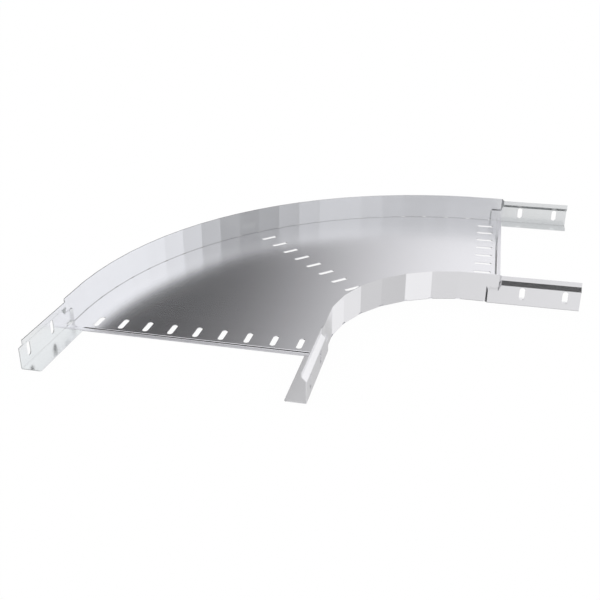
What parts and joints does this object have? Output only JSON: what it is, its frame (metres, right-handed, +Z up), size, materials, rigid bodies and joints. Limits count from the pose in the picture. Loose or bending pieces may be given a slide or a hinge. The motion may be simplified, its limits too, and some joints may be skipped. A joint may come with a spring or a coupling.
{
  "type": "cable tray bend",
  "caption": "Quarter-turn bend of perforated sheet steel cable tray, with a slotted base, two folded side walls and formed push-in connectors at both ends.",
  "frame": {"origin": "centre of the bounding box at the underside of the connector flanges", "axes": "+Z up from the underside to the wall tops; one end opens towards -Y, the other towards +X, and the curve lies at -X and +Y"},
  "size_m": [0.9682, 0.9682, 0.062],
  "materials": {
    "base_sheet": "bright galvanised sheet steel",
    "outer_sheet": "bright galvanised sheet steel",
    "inner_sheet": "bright galvanised sheet steel"
  },
  "bodies": {
    "root": {"base_plate": "base_sheet", "outer_wall": "outer_sheet", "inner_wall": "inner_sheet"}
  },
  "joints": []
}
